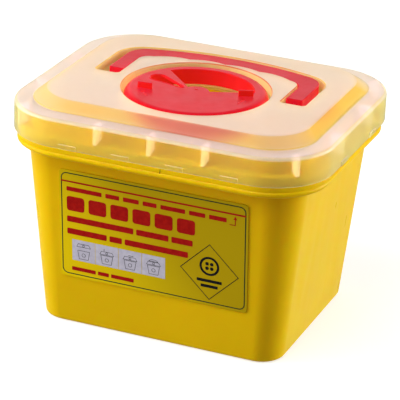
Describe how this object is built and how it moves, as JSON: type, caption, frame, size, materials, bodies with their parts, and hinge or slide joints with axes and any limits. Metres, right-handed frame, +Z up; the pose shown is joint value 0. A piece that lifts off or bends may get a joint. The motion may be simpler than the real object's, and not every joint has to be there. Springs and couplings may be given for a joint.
{
  "type": "sharps container",
  "caption": "Tapered tub with a front label, a translucent press-on lid, a rotating drop-aperture disc with a needle slot, and a flat folding carrying handle.",
  "frame": {"origin": "on the floor under the middle of the tub", "axes": "+Z up, -Y towards the labelled front, +X to the right of somebody facing the front"},
  "size_m": [0.2374, 0.1972, 0.1749],
  "materials": {
    "tub": "satin moulded polypropylene",
    "label": "gloss printed film",
    "lid": "natural translucent polypropylene",
    "turntable": "satin red plastic",
    "handle": "satin red plastic"
  },
  "bodies": {
    "tub": {"tub": "tub", "label": "label"},
    "lid": {"lid": "lid"},
    "turntable": {"turntable": "turntable"},
    "handle": {"handle": "handle"}
  },
  "joints": [
    {"name": "lid_lift", "type": "slide", "parent": "tub", "child": "lid", "axis": [0, 0, 1], "range_m": [0, 0.06]},
    {"name": "turntable_turn", "type": "hinge", "parent": "lid", "child": "turntable", "pos_m": [0, -0.013, 0.1706], "axis": [0, 0, 1], "range_deg": [0, 180]},
    {"name": "handle_raise", "type": "hinge", "parent": "lid", "child": "handle", "pos_m": [0, 0.0055, 0.1671], "axis": [1, 0, 0], "range_deg": [0, 90]}
  ]
}
